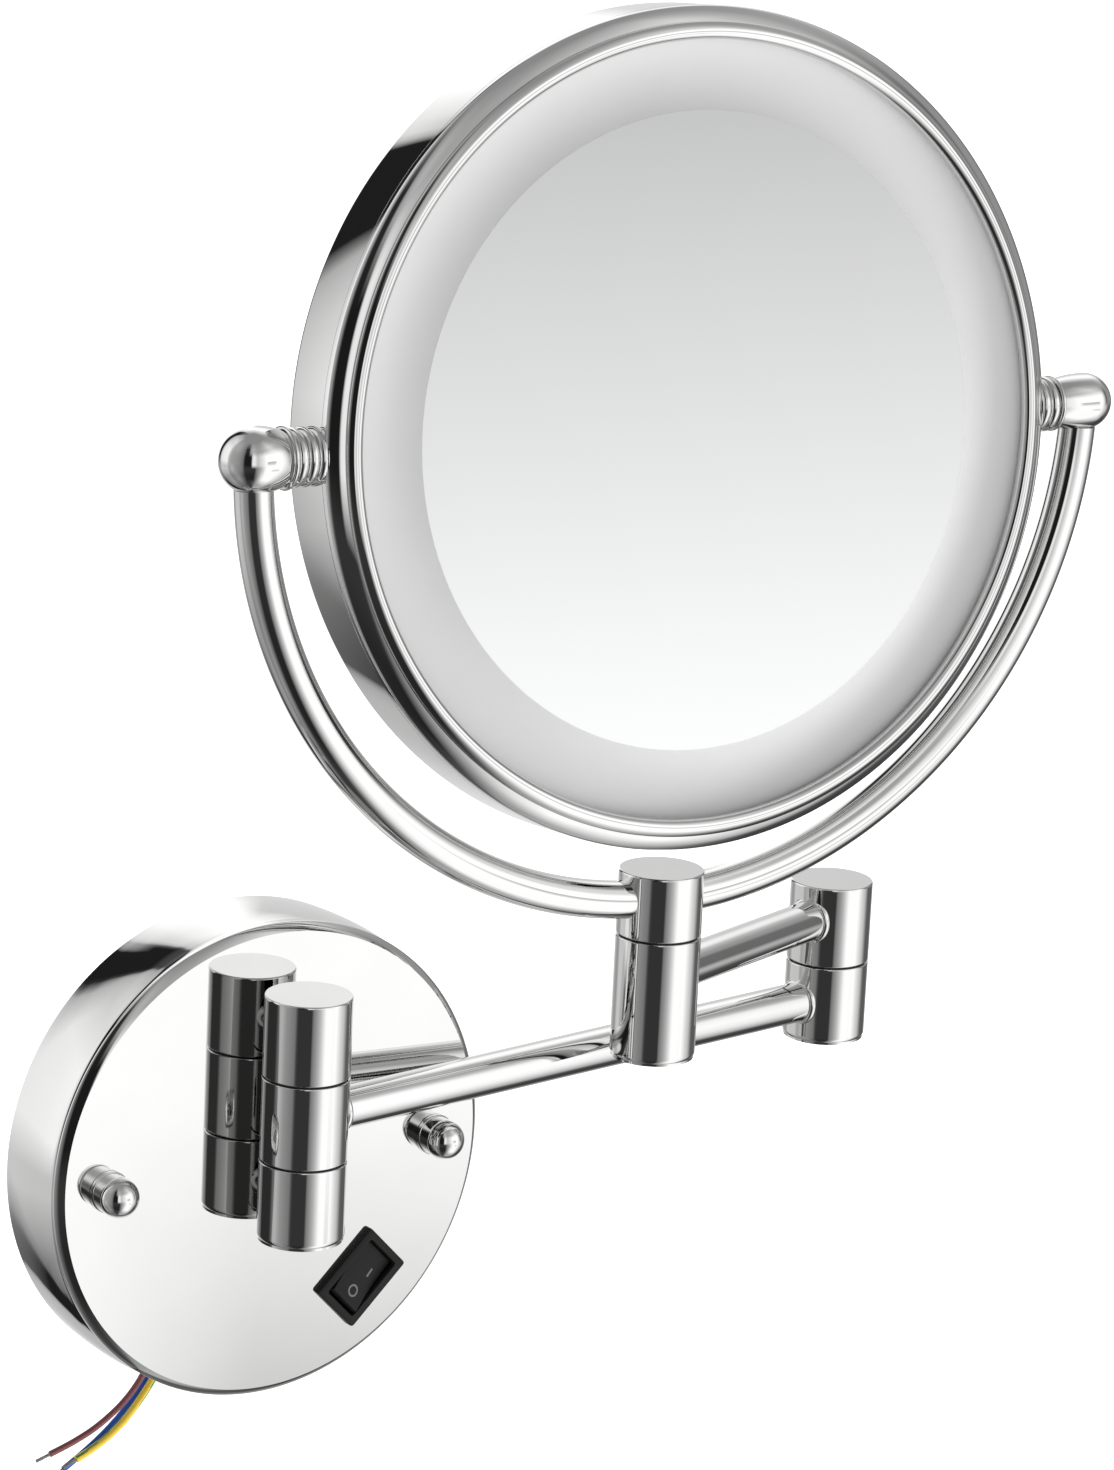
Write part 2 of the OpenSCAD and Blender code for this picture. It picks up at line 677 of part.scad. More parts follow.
module elbow_knuckle_upper() {
    color("gainsboro") on_upper_arm() difference() {
        union() {
            translate([0, 0, upper_seam_z + seam]) barrel(elbow_top_h, 0.3, 0.5);
            weld(upper_arm_z);
        }
        bush_bore(upper_seam_z, seam + elbow_top_h - 3 + run_fit);
        lead_way(upper_arm_z);
    }
}

module elbow_bush() {
    color("goldenrod") on_upper_arm() difference() {
        bush(upper_seam_z + seam, elbow_top_h - 3);
        lead_way(upper_arm_z);
    }
}

module upper_arm_tube() {
    color("gainsboro") on_upper_arm() arm_tube(upper_arm_l, upper_arm_z);
}

yoke_pin_z = yoke_foot_z + 8;
yoke_pin_h = yoke_knuckle_h - 8 + seam + yoke_hub_h - 3 - run_fit;

module yoke_knuckle() {
    color("gainsboro") on_upper_arm() translate([upper_arm_l, 0, 0]) difference() {
        union() {
            translate([0, 0, yoke_foot_z]) barrel(yoke_knuckle_h, 1.6, 0.3);
            rotate(180) weld(upper_arm_z);
        }
        pin_bore_at(yoke_pin_z - seat_fit, yoke_knuckle_h);
        rotate(180) lead_way(upper_arm_z);
    }
}

module yoke_pin() {
    color("darkgray") on_upper_arm() translate([upper_arm_l, 0, 0]) rotate(180)
        pivot_pin(yoke_pin_z, yoke_pin_h, upper_arm_z);
}

module yoke_washer() {
    color("dimgray") on_upper_arm() translate([upper_arm_l, 0, 0]) seam_washer(yoke_seam_z);
}

// ---- yoke ----

module yoke_hub() {
    color("gainsboro") on_yoke() difference() {
        translate([0, 0, yoke_seam_z + seam]) barrel(yoke_hub_h, 0.3, 0.5);
        bush_bore(yoke_seam_z, seam + yoke_hub_h - 3 + seat_fit);
        for (side = [0, 180]) rotate(side) translate([0, 0, yoke_bottom_z]) rotate([0, 90, 0])
            cylinder(r = yoke_tube_r - yoke_tube_wall, h = barrel_r + 1);
    }
}

module yoke_bush() {
    color("goldenrod") on_yoke() difference() {
        bush(yoke_seam_z + seam, yoke_hub_h - 3);
        for (side = [0, 180]) rotate(side) translate([0, 0, yoke_bottom_z]) rotate([0, 90, 0])
            cylinder(r = yoke_tube_r - yoke_tube_wall, h = bush_r + 1);
    }
}

// A quarter of the yoke's ring, from the hub up to the socket in the knob
module yoke_quarter() {
    difference() {
        translate([0, 0, tilt_z]) rotate([-90, 0, 0])
            rotate_extrude(angle = 90 - yoke_stop, start = yoke_stop, $fn = 180) translate([yoke_r, 0])
                difference() {
                    circle(yoke_tube_r, $fn = 48);
                    circle(yoke_tube_r - yoke_tube_wall, $fn = 48);
                }
        translate([0, 0, yoke_seam_z]) cylinder(r = barrel_r, h = yoke_hub_h + 5);
    }
}

module yoke_tube_left() { color("gainsboro") on_yoke() mirror([1, 0, 0]) yoke_quarter(); }

module yoke_tube_right() { color("gainsboro") on_yoke() yoke_quarter(); }

// Half outline of a knob: ball of radius r centred at height reach, a taper that curves in to
// the neck over the length taper, and a round-edged flange at the seat. Height 0 is the middle
// of the yoke's tube.
module knob_outline(r, reach, taper, flange_r, seat) {
    inset = r - knob_neck_r;
    arc_r = (inset * inset + taper * taper) / (2 * inset);
    intersection() {
        translate([0, reach]) circle(r);
        translate([0, reach]) square([r, r]);
    }
    intersection() {
        translate([r - arc_r, reach]) circle(arc_r);
        translate([0, reach - taper]) square([r, taper]);
    }
    translate([0, -seat]) square([knob_neck_r, seat + reach - taper + 0.1]);
    translate([0, -seat]) square([flange_r - knob_flange_t / 2, knob_flange_t]);
    translate([flange_r - knob_flange_t / 2, knob_flange_t / 2 - seat]) circle(knob_flange_t / 2);
}

// Knob on the end of the yoke, with a socket for the tube and a threaded hole for the tilt
// screw. +Z is outwards along the tilt axis.
module knob(r, reach, taper, flange_r, seat) {
    color("gainsboro") translate([0, 0, yoke_r]) difference() {
        rotate_extrude() knob_outline(r, reach, taper, flange_r, seat);
        translate([0, 0, -yoke_r]) rotate([90, 0, 0])
            rotate_extrude(angle = 30 - yoke_stop, start = 60, $fn = 180)
                translate([yoke_r, 0]) circle(yoke_tube_r + seat_fit, $fn = 48);
        translate([0, 0, -20]) cylinder(r = tilt_screw_d / 2 + seat_fit, h = 20 + screw_in_knob);
    }
}

module left_knob() {
    on_yoke() translate([0, 0, tilt_z]) on_tilt_axis(-1) rotate(180)
        knob(left_knob_d / 2, 0, left_seat - knob_flange_t, left_knob_d / 2 - 0.5, left_seat);
}

module right_finial() {
    on_yoke() translate([0, 0, tilt_z]) on_tilt_axis(1)
        knob(right_knob_d / 2, right_knob_reach, right_knob_reach + yoke_tube_r,
             right_knob_d / 2 - 0.15, right_seat);
}

nut_inner = head_r - head_wall - 4;               // inner end of the tilt nuts
tilt_nut_r = min(rim_back, glass_front - glass_t) - 0.4;  // corners clear the rim and the glass

module tilt_screws() {
    color("darkgray") on_yoke() translate([0, 0, tilt_z]) for (side = [-1, 1]) on_tilt_axis(side)
        translate([0, 0, nut_inner - 2])
            cylinder(d = tilt_screw_d, h = yoke_r - nut_inner + 2 + screw_in_knob - seat_fit);
}

module tilt_nuts() {
    color("silver") on_yoke() translate([0, 0, tilt_z]) for (side = [-1, 1]) on_tilt_axis(side)
        translate([0, 0, nut_inner]) difference() {
            union() {
                cylinder(r = tilt_nut_r, h = 3.1, $fn = 6);
                translate([0, 0, 3.1]) cylinder(r = tilt_nut_r, h = 0.6);
            }
            translate([0, 0, -1]) cylinder(d = tilt_screw_d + 2 * seat_fit, h = 6);
        }
}

// ---- mirror head ----

// Outline of the rolled rim: a front bead over the edge of the glass with a fuller outer flank,
// a broad rear roll, and a rounded edge that runs into the drum's side
module rim_outline() {
    inside = glass_r + seat_fit;
    lip = front_flank_at + front_flank_r * [sin(24), cos(24)];  // where bead and flank run together
    roll_end = rear_roll_at + rear_roll_r * [sin(51), cos(51)];
    intersection() {
        translate(front_bead_at) circle(front_bead_r);
        translate([0, glass_front + 0.05]) square([lip[0], 20]);
    }
    intersection() {
        translate(front_flank_at) circle(front_flank_r);
        translate([lip[0], rim_back]) square([10, 20]);
    }
    intersection() {
        translate(rear_roll_at) circle(rear_roll_r);
        translate([inside, rim_back]) square([roll_end[0] - inside, 20]);
    }
    translate([inside, rim_back]) square([lip[0] - inside, front_bead_at[1] - rim_back]);
    translate([inside, rim_back]) square([head_r - inside, rim_side_h]);
    translate(rim_edge_at) circle(rim_edge_r);
}

module front_rim() {
    color("gainsboro") on_glass() rotate_extrude($fn = 180) rim_outline();
}

module head_drum() {
    color("gainsboro") on_glass() difference() {
        translate([0, 0, rim_back - seat_fit]) mirror([0, 0, 1])
            drum(head_r, head_back + rim_back - seat_fit, head_edge_r, head_wall);
        rotate([0, 90, 0]) translate([0, 0, -head_r - 1])
            cylinder(d = tilt_screw_d + 2 * run_fit, h = 2 * head_r + 2);
    }
}

module mirror_glass() {
    color("lightsteelblue") on_glass() translate([0, 0, glass_front - glass_t])
        cylinder(r = mirror_r, h = glass_t);
}

module light_ring() {
    color("white") on_glass() translate([0, 0, glass_front - glass_t])
        ring(glass_r, mirror_r + seat_fit, glass_t);
}

// Pressed tray: carries the board, and the lip of its raised wall carries the mirror and the light ring
module core_plate() {
    back_of_glass = glass_front - glass_t - seat_fit;
    color("silver") on_glass() {
        translate([0, 0, core_front - core_t]) ring(head_r - head_wall - 0.3, 12, core_t);
        translate([0, 0, core_front - core_t])
            ring(mirror_r, mirror_r - 1.2, back_of_glass - core_front + core_t);
        translate([0, 0, back_of_glass - 1]) ring(mirror_r + 1.6, mirror_r - 2.4, 1);
    }
}

module core_studs() {
    color("darkgray") on_glass() for (a = [45 : 90 : 315]) rotate(a)
        translate([mirror_r - 18, 0, -head_back + head_wall])
            cylinder(r = 3, h = head_back - head_wall + core_front - core_t);
}

module led_ring() {
    color("whitesmoke") on_glass() translate([0, 0, core_front]) ring(board_r[1], board_r[0], board_t);
}

module leds() {
    color("khaki") on_glass() for (i = [0 : led_count - 1]) rotate(360 * (i + 0.5) / led_count)
        translate([(board_r[0] + board_r[1]) / 2 - 1.75, -1.4, core_front + board_t]) cube([3.5, 2.8, 0.8]);
}

// Beaded collar turned to fit between the drum and the knob, coped to the drum and the rim
module collar(side, seat, beads) {
    collar_out = yoke_r - seat - 0.1;
    color("gainsboro") difference() {
        on_head() on_tilt_axis(side) difference() {
            union() {
                translate([0, 0, head_r - 2]) cylinder(r = bead_ring_r, h = collar_out - head_r + 2);
                for (i = [0 : beads - 1])
                    translate([0, 0, collar_out - 0.2 - (2 * i + 1) * bead_r]) rotate_extrude()
                    translate([bead_ring_r, 0]) circle(bead_r, $fn = 48);
            }
            translate([0, 0, head_r - 4]) cylinder(d = tilt_screw_d + 2 * run_fit, h = 20);
        }
        on_glass() translate([0, 0, -head_back]) cylinder(r = head_r, h = head_back + rim_back + 20);
    }
}

module left_collar() { collar(-1, left_seat, 3); }

module right_collar() { collar(1, right_seat, 2); }

cover();
back_plate();
plate_studs();
cap_nuts();
stiffener();
hinge_screws();
hinge_collars();
wall_barrel_top();
wall_barrel_bottom();
wall_pin();
wall_washers();
switch_housing();
switch_terminals();
rocker_paddle();
led_driver();
driver_strap();
terminal_block();
lead_grommet();
inner_leads();
live_lead();
neutral_lead();
earth_lead();
lead_tips();
wall_knuckle();
wall_bush();
lower_arm_tube();
elbow_knuckle_lower();
elbow_pin();
elbow_washer();
elbow_knuckle_upper();
elbow_bush();
upper_arm_tube();
yoke_knuckle();
yoke_pin();
yoke_washer();
yoke_hub();
yoke_bush();
yoke_tube_left();
yoke_tube_right();
left_knob();
right_finial();
tilt_screws();
tilt_nuts();
front_rim();
head_drum();
mirror_glass();
light_ring();
core_plate();
core_studs();
led_ring();
leds();
left_collar();
right_collar();
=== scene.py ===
import bmesh, bpy, math
from mathutils import Matrix, Vector


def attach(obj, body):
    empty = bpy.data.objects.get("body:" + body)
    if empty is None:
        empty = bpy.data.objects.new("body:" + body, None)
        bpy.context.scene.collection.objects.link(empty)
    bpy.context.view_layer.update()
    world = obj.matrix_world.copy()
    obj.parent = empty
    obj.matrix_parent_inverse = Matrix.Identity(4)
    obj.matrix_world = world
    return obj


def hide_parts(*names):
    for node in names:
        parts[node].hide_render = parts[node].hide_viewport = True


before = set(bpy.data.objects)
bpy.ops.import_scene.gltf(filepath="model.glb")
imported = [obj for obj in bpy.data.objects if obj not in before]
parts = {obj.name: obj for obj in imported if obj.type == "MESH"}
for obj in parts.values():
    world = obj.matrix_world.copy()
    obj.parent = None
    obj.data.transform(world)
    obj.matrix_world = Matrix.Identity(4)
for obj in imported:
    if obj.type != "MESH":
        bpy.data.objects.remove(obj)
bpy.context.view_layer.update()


# Wall plate cover: a sheet steel cup, drawn, buffed and chromed, with a rolled edge round its flat face.
# It slips over the back plate and hides the wiring.
def place(tree, kind, feeds=None, **settings):
    made = tree.nodes.new(kind)
    for name, value in settings.items():
        setattr(made, name, value)
    for name, value in (feeds or {}).items():
        if isinstance(value, bpy.types.NodeSocket):
            tree.links.new(value, made.inputs[name])
        else:
            made.inputs[name].default_value = value
    return made


def effect(name, wants, gives):
    group = bpy.data.node_groups.new(name, "ShaderNodeTree")
    for title, kind, value in wants:
        group.interface.new_socket(title, in_out="INPUT", socket_type=kind).default_value = value
    for title, kind in gives:
        group.interface.new_socket(title, in_out="OUTPUT", socket_type=kind)
    return group, group.nodes.new("NodeGroupInput").outputs, group.nodes.new("NodeGroupOutput").inputs


# Shared effect: the slow drift of a buffed, moulded or drawn surface, with fine grain in it.
drift, given, out = effect(
    "surface_drift",
    [("Place", "NodeSocketVector", (0, 0, 0)),
     ("Patch", "NodeSocketFloat", 60.0), ("Grain", "NodeSocketFloat", 2500.0),
     ("Low", "NodeSocketFloat", 0.05), ("High", "NodeSocketFloat", 0.09),
     ("Dark", "NodeSocketColor", (0.9, 0.9, 0.9, 1)), ("Light", "NodeSocketColor", (0.95, 0.95, 0.95, 1))],
    [("Colour", "NodeSocketColor"), ("Roughness", "NodeSocketFloat"), ("Height", "NodeSocketFloat")])
patch = place(drift, "ShaderNodeTexNoise", {"Vector": given["Place"], "Scale": given["Patch"], "Detail": 3.0})
grain = place(drift, "ShaderNodeTexNoise", {"Vector": given["Place"], "Scale": given["Grain"], "Detail": 1.0})
both = place(drift, "ShaderNodeMath", {0: patch.outputs["Fac"], 1: grain.outputs["Fac"]},
             operation="MULTIPLY")
level = place(drift, "ShaderNodeMapRange", {"Value": both.outputs[0], "From Min": 0.12, "From Max": 0.4,
                                            "To Min": given["Low"], "To Max": given["High"]})
tone = place(drift, "ShaderNodeMix", {0: patch.outputs["Fac"], 6: given["Dark"], 7: given["Light"]},
             data_type="RGBA")
drift.links.new(tone.outputs[2], out["Colour"])
drift.links.new(level.outputs[0], out["Roughness"])
drift.links.new(both.outputs[0], out["Height"])


def finish(name, dark, light, low, high, patch=60.0, grain=2500.0, bump=0.0, **constants):
    made = bpy.data.materials.new(name)
    made.use_nodes = True
    tree = made.node_tree
    shader = tree.nodes["Principled BSDF"].inputs
    for title, value in constants.items():
        shader[title.replace("_", " ")].default_value = value
    spot = place(tree, "ShaderNodeTexCoord").outputs["Object"]
    held = tree.nodes.new("ShaderNodeGroup")
    held.node_tree = drift
    tree.links.new(spot, held.inputs["Place"])
    for title, value in (("Patch", patch), ("Grain", grain), ("Low", low), ("High", high),
                         ("Dark", (*dark, 1)), ("Light", (*light, 1))):
        held.inputs[title].default_value = value
    tree.links.new(held.outputs["Colour"], shader["Base Color"])
    tree.links.new(held.outputs["Roughness"], shader["Roughness"])
    if bump:
        raised = place(tree, "ShaderNodeBump", {"Height": held.outputs["Height"], "Strength": bump,
                                                "Distance": 0.0001})
        tree.links.new(raised.outputs["Normal"], shader["Normal"])
    return made


def coat(material, *names):
    for name in names:
        for slot in parts[name].material_slots:
            slot.material = material


def solid(name, corners, faces, *materials):
    mesh = bpy.data.meshes.new(name)
    mesh.from_pydata([tuple(c) for c in corners], [], faces)
    shell = bmesh.new()
    shell.from_mesh(mesh)
    bmesh.ops.recalc_face_normals(shell, faces=shell.faces)
    shell.to_mesh(mesh)
    shell.free()
    for material in materials:
        mesh.materials.append(material)
    piece = bpy.data.objects.new(name, mesh)
    bpy.context.scene.collection.objects.link(piece)
    return piece


def smooth(piece, angle=35):
    for face in piece.data.polygons:
        face.use_smooth = True
    piece.data.set_sharp_from_angle(angle=math.radians(angle))


def settle(piece):
    done = bpy.data.meshes.new_from_object(piece.evaluated_get(bpy.context.evaluated_depsgraph_get()))
    piece.modifiers.clear()
    piece.data = done


def smooth_route(points, steps=4):
    rows = [Vector(p) / 1000 for p in points]
    rows = [2 * rows[0] - rows[1]] + rows + [2 * rows[-1] - rows[-2]]
    made = []
    for a, b, c, d in zip(rows, rows[1:], rows[2:], rows[3:]):
        for k in range(steps):
            t = k / steps
            made.append(0.5 * (2 * b + (c - a) * t + (2 * a - 5 * b + 4 * c - d) * t * t
                               + (3 * b - a - 3 * c + d) * t ** 3))
    return made + [rows[-2]]


def between_rings(count, sides, start=0):
    return [(start + k * sides + s, start + k * sides + (s + 1) % sides,
             start + (k + 1) * sides + (s + 1) % sides, start + (k + 1) * sides + s)
            for k in range(count - 1) for s in range(sides)]


def arc(centre, radius, first, last, steps):
    turns = [math.radians(first + (last - first) * k / steps) for k in range(steps + 1)]
    return [(centre[0] + radius * math.sin(t), centre[1] + radius * math.cos(t)) for t in turns]


def turned(name, base, axis, outline, *materials, sides=240, crease=30):
    corners, faces, rows = [], [], len(outline)
    across = axis.cross(Vector((0, 0, 1)) if abs(axis.z) < 0.9 else Vector((1, 0, 0))).normalized()
    over = axis.cross(across)
    for k in range(sides):
        spoke = math.cos(math.tau * k / sides) * across + math.sin(math.tau * k / sides) * over
        corners += [base + (spoke * r + axis * z) / 1000 for r, z in outline]
        here, there = k * rows, (k + 1) % sides * rows
        faces += [(here + j, here + (j + 1) % rows, there + (j + 1) % rows, there + j) for j in range(rows)]
    piece = solid(name, corners, faces, *materials)
    smooth(piece, crease)
    return piece


chrome_dark, chrome_light = (0.715, 0.715, 0.71), (0.77, 0.77, 0.765)
drawn_chrome = finish("drawn_chrome", chrome_dark, chrome_light, 0.012, 0.035, 45.0, 1800.0, 0.01,
                      Metallic=1.0)
out_of_wall, plate_middle = Vector((0, -1, 0)), Vector((0, 0, 0))
crown = [(p.x * 1000, p.y * 1000) for p in smooth_route(
    [(60.7, 0, 0), (60.9, 4, 0), (61, 8, 0), (60.93, 12, 0), (60.68, 15.6, 0), (60.3, 18.4, 0),
     (60.05, 19.9, 0), (60.1, 20.85, 0), (60.3, 21.7, 0)], 6)]
cup = turned("spun_cover", plate_middle, out_of_wall,
             crown + arc((59.718, 21.85), 0.6, 104, 50, 8)[1:] + arc((52.518, 15.808), 10, 50, 35, 12)[1:]
             + [(58, 24), (20, 24), (0.02, 24), (0.02, 23.2), (20, 23.2), (57.6, 23.2),
                (59.3, 21.4), (59.3, 18), (60, 12), (60, 0)],
             drawn_chrome, sides=360, crease=12)


def drill(piece, *cutters):
    for cutter in cutters:
        hole = piece.modifiers.new("hole", "BOOLEAN")
        hole.operation, hole.object, hole.solver = "DIFFERENCE", cutter, "EXACT"
    settle(piece)
    for cutter in cutters:
        bpy.data.objects.remove(cutter)


def bar(name, middle, along, across, through):
    corners = [middle + sx * along + sy * across + sz * through
               for sx in (-1, 1) for sy in (-1, 1) for sz in (-1, 1)]
    return solid(name, corners, [(0, 1, 3, 2), (4, 6, 7, 5), (0, 4, 5, 1),
                                 (2, 3, 7, 6), (0, 2, 6, 4), (1, 5, 7, 3)])


cover_face, sheet_middle, nut_offset = -0.024, -0.0236, 0.0465
switch_spot, switch_turn = Vector((0.025996, cover_face, -0.034001)), math.radians(44)
half_length, half_width = 0.00945, 0.00645
opening = bar("opening", Vector((switch_spot.x, sheet_middle, switch_spot.z)),
              half_length * Vector((math.cos(switch_turn), 0, math.sin(switch_turn))),
              half_width * Vector((-math.sin(switch_turn), 0, math.cos(switch_turn))), Vector((0, -0.003, 0)))
stud_hole = [(0.01, -3), (2.2, -3), (2.2, 3), (0.01, 3)]
stud_holes = [turned("stud_hole", Vector((x, sheet_middle, 0)), out_of_wall, stud_hole, sides=32)
              for x in (-nut_offset, nut_offset)]
drill(cup, opening, *stud_holes)
smooth(cup, 12)
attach(cup, "wall_plate")
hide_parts("cover")

# Back plate and fixings: pressed steel, zinc plated, with riveted studs for the cap nuts.
# The stiffener bar behind the cover's face takes the two hinge screws.
zinc = finish("zinc_plating", (0.42, 0.43, 0.45), (0.62, 0.63, 0.66), 0.28, 0.5, 90.0, 3000.0, 0.3,
              Metallic=1.0)
coat(zinc, "back_plate", "plate_studs", "stiffener", "hinge_screws", "driver_strap", "tilt_screws",
     "tilt_nuts", "core_studs")

# Cap nuts: turned brass, domed by the form tool, polished and chromed; they hold the cover on its studs.
turned_chrome = finish("turned_chrome", chrome_dark, chrome_light, 0.03, 0.07, 160.0, 4000.0, 0.02,
                       Metallic=1.0)
for name, x in (("left_cap_nut", -nut_offset), ("right_cap_nut", nut_offset)):
    nut = turned(name, Vector((x, cover_face, 0)), out_of_wall,
                 [(2.3, 0), (5, 0), (5.15, 0.15), (5.15, 1.05), (5, 1.2),
                  (4.9, 1.25), (4.9, 4.5), (4.75, 4.62), (4.82, 4.75)]
                 + arc((0, 5), 5, 90, 1, 24) + [(0.05, 10), (0.05, 8.4), (2.3, 8.4)],
                 turned_chrome, sides=96, crease=40)
    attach(nut, "wall_plate")
    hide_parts("cap_nuts")

# Wall hinge: two barrel segments on collars, cut from thick tube, buffed and chromed, round a ground pin.
# Nylon washers show as thin black seams.
barrel_chrome = finish("barrel_chrome", chrome_dark, chrome_light, 0.012, 0.03, 70.0, 2500.0, 0.01,
                       Metallic=1.0)
coat(barrel_chrome, "hinge_collars", "wall_barrel_top", "wall_barrel_bottom")
ground_steel = finish("ground_steel", (0.32, 0.32, 0.33), (0.5, 0.5, 0.52), 0.18, 0.35, 300.0, 6000.0, 0.2,
                      Metallic=1.0)
coat(ground_steel, "wall_pin", "elbow_pin", "yoke_pin")
nylon = finish("black_nylon", (0.015, 0.015, 0.016), (0.03, 0.03, 0.032), 0.45, 0.6, 300.0, 6000.0, 0.3)
coat(nylon, "wall_washers", "elbow_washer", "yoke_washer")

# Switch: a snap-in housing moulded in black, with a rocker on trunnions, fine spark-eroded texture on both.
# The O and the bar are printed on the rocker in grey.
switch_black = finish("switch_black", (0.006, 0.0055, 0.0055), (0.01, 0.0095, 0.009), 0.42, 0.55,
                      400.0, 9000.0, 0.3, Specular_IOR_Level=0.22)
brass = finish("stamped_brass", (0.55, 0.40, 0.16), (0.75, 0.58, 0.28), 0.2, 0.38, 200.0, 5000.0, 0.2,
               Metallic=1.0)
coat(brass, "switch_terminals")
rocker_lean, rocker_axis, rocker_half_width = math.radians(8), -3.4, 4.95


def on_switch(x, y, z):
    along, across = math.cos(switch_turn), math.sin(switch_turn)
    return switch_spot + Vector((x * along - y * across, -z, x * across + y * along)) / 1000


def on_rocker(x, y, z):
    rise = z - rocker_axis
    return on_switch(x * math.cos(rocker_lean) + rise * math.sin(rocker_lean), y,
                     rise * math.cos(rocker_lean) - x * math.sin(rocker_lean) + rocker_axis)


def dish(x):
    return 0.6 + 0.55 * (x / 7.6) ** 2


def ring_of(length, width, height, corner):
    made = []
    for sx, sy, first in ((1, 1, 0), (-1, 1, 90), (-1, -1, 180), (1, -1, 270)):
        for k in range(6):
            a = math.radians(first + 18 * k)
            made.append(on_switch(sx * (length / 2 - corner) + corner * math.cos(a),
                                  sy * (width / 2 - corner) + corner * math.sin(a), height))
    return made


rings = [ring_of(*row) for row in (
    (18.8, 12.8, -12.5, 0.4), (18.8, 12.8, 0, 0.4), (20.9, 15.1, 0.02, 0.7), (20.9, 15.1, 1.1, 0.7),
    (20.7, 14.9, 1.5, 0.7), (20.3, 14.5, 1.65, 0.7), (17.2, 10.9, 1.65, 0.7), (16.8, 10.5, 1.35, 0.6),
    (16.7, 10.4, 0.9, 0.6), (16.7, 10.4, 0.1, 0.6), (18, 11.6, 0, 0.4), (18, 11.6, -9, 0.4))]
count = len(rings[0])
faces = between_rings(len(rings), count)
faces += [tuple(range(count))[::-1], tuple(range((len(rings) - 1) * count, len(rings) * count))]
housing = solid("switch_frame", [corner for ring in rings for corner in ring], faces, switch_black)
smooth(housing, 40)
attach(housing, "wall_plate")
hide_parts("switch_housing")

edge = [(-7.6 + 0.95 * k, dish(-7.6 + 0.95 * k)) for k in range(17)]
edge += [(7.9, 0.8), (8.25, -0.6), (8.25, -1.9), (3, -5.6),
         (-3, -5.6), (-8.25, -1.9), (-8.25, -0.6), (-7.9, 0.8)]
corners = [on_rocker(x, y, z) for y in (-rocker_half_width, rocker_half_width) for x, z in edge]
count = len(edge)
faces = [(k, (k + 1) % count, (k + 1) % count + count, k + count) for k in range(count)]
faces += [tuple(range(count))[::-1], tuple(range(count, 2 * count))]
paddle = solid("rocker_button", corners, faces, switch_black)
rounding = paddle.modifiers.new("rounding", "BEVEL")
rounding.width, rounding.segments = 0.00028, 3
rounding.limit_method, rounding.angle_limit = "ANGLE", math.radians(35)
settle(paddle)
smooth(paddle, 40)
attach(paddle, "rocker")
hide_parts("rocker_paddle")

print_grey = finish("print_grey", (0.09, 0.09, 0.1), (0.14, 0.14, 0.15), 0.45, 0.6, 900.0, 9000.0, 0.2)
print_rise, mark_sides = 0.03, 48
corners, faces = [], []
for k in range(mark_sides):
    spin = math.tau * k / mark_sides
    for r in (1.1, 1.6):
        x = -4.4 + r * math.cos(spin)
        corners.append(on_rocker(x, r * math.sin(spin) - 0.5, dish(x) + print_rise))
    faces.append((2 * k, 2 * k + 1, (2 * k + 3) % (2 * mark_sides), (2 * k + 2) % (2 * mark_sides)))
ring_mark = solid("mark_off", corners, faces, print_grey)
steps = [0.7 + 0.4 * k for k in range(7)]
bar_mark = solid("mark_on", [on_rocker(x, y, dish(x) + print_rise) for x in steps for y in (-2, -1.45)],
                 [(2 * k, 2 * k + 2, 2 * k + 3, 2 * k + 1) for k in range(6)], print_grey)
for mark in (ring_mark, bar_mark):
    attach(mark, "rocker")

# Wiring in the plate: an encapsulated driver under a steel strap, a terminal block on the back plate,
# a rubber grommet in its opening, and three short leads from block to grommet.
driver_white = finish("driver_moulding", (0.62, 0.62, 0.6), (0.72, 0.72, 0.7), 0.35, 0.5, 120.0, 5000.0, 0.3)
coat(driver_white, "led_driver")
ivory = finish("ivory_moulding", (0.66, 0.61, 0.48), (0.74, 0.69, 0.56), 0.35, 0.5, 120.0, 5000.0, 0.3)
coat(ivory, "terminal_block")
rubber = finish("grommet_rubber", (0.018, 0.018, 0.018), (0.035, 0.035, 0.035), 0.6, 0.8, 300.0, 7000.0, 0.5)
coat(rubber, "lead_grommet")
brown = finish("brown_insulation", (0.15, 0.04, 0.045), (0.2, 0.06, 0.065), 0.25, 0.4, 200.0, 5000.0, 0.2)
coat(brown, "inner_leads")


# Mains leads: three insulated leads, 1.6 mm and 1.9 mm across, out of the grommet and down behind the plate.
# Each ends in 4 mm of bare tinned strands, twisted together.
def tube_along(points, radius, sides, corners, faces):
    across, start = Vector((1, 0, 0)), len(corners)
    for k, p in enumerate(points):
        along = (points[min(k + 1, len(points) - 1)] - points[max(k - 1, 0)]).normalized()
        across = (across - along * across.dot(along)).normalized()
        over = along.cross(across)
        corners += [p + radius * (math.cos(math.tau * s / sides) * across
                                  + math.sin(math.tau * s / sides) * over) for s in range(sides)]
    faces += between_rings(len(points), sides, start)
    last = start + (len(points) - 1) * sides
    faces += [tuple(range(start, start + sides))[::-1], tuple(range(last, last + sides))]


